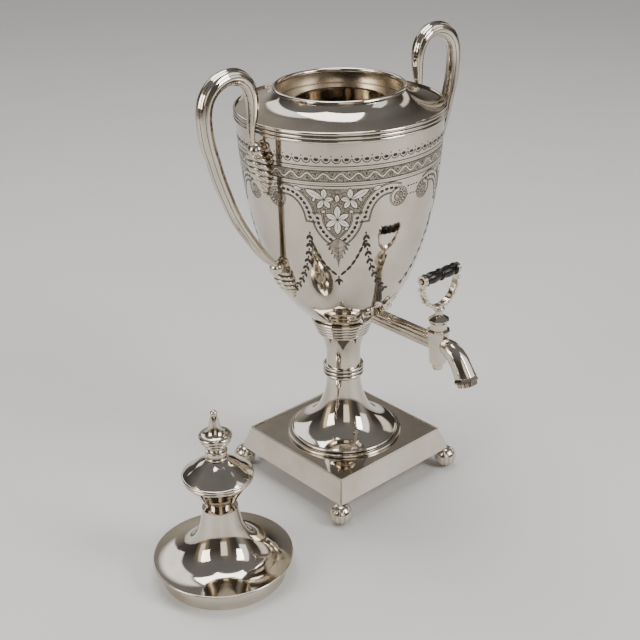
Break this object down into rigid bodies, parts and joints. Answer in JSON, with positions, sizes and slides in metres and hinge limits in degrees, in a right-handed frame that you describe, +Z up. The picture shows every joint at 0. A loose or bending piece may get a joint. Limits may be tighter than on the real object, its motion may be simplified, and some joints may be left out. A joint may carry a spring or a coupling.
{
  "type": "tea urn",
  "caption": "Silver-plated classical tea urn on a square plinth with ball feet, loop handles, a turning tap and a lift-off lid with a tall finial.",
  "frame": {"origin": "centre of the stand on the table plane, on the bowl's upright centre line", "axes": "+Z up, the tap points along -Y, the handles stand along -X and +X, and the lid stands on the table on the -X side"},
  "size_m": [0.3715, 0.2356, 0.3858],
  "materials": {
    "silver_plate": "polished silver plate, slightly warm",
    "brass": "plain turned",
    "black_wood": "polished ebonised wood"
  },
  "bodies": {
    "urn": {"base_plinth": "silver_plate", "foot_front_left": "silver_plate", "foot_front_right": "silver_plate", "foot_back_left": "silver_plate", "foot_back_right": "silver_plate", "pedestal": "silver_plate", "knop_ring": "silver_plate", "stem_cup": "silver_plate", "bowl_collar": "silver_plate", "stem_rod": "brass", "rod_washer": "brass", "rod_nut": "brass", "seal_washer": "brass", "seal_nut": "brass", "bowl": "silver_plate", "rim_moulding": "silver_plate", "shoulder": "silver_plate", "neck_rim": "silver_plate", "neck_seat": "silver_plate", "handle_left": "silver_plate", "handle_right": "silver_plate", "mount_upper_left": "silver_plate", "mount_upper_right": "silver_plate", "mount_lower_left": "silver_plate", "mount_lower_right": "silver_plate", "tap_escutcheon": "silver_plate", "tap_barrel": "silver_plate", "tap_body": "silver_plate", "tap_nozzle": "silver_plate", "tap_nozzle_lip": "silver_plate"},
    "tap_key": {"tap_plug": "silver_plate", "key_collar": "silver_plate", "key_yoke": "silver_plate", "key_grip": "black_wood", "grip_pin": "brass", "plug_washer": "brass", "plug_nut": "silver_plate"},
    "lid": {"lid_cover": "silver_plate", "lid_bezel": "silver_plate", "finial_cup": "silver_plate", "finial_dome": "silver_plate", "finial_collar": "silver_plate", "finial_spike": "silver_plate", "lid_rod": "brass", "lid_washer": "brass", "lid_nut": "brass"}
  },
  "joints": [
    {"name": "tap_turn", "type": "hinge", "parent": "urn", "child": "tap_key", "pos_m": [0, -0.111, 0.165], "axis": [0, 0, 1], "continuous": true},
    {"name": "lid_lift", "type": "slide", "parent": "urn", "child": "lid", "axis": [0, 0, 1], "range_m": [0, 0.2]}
  ]
}
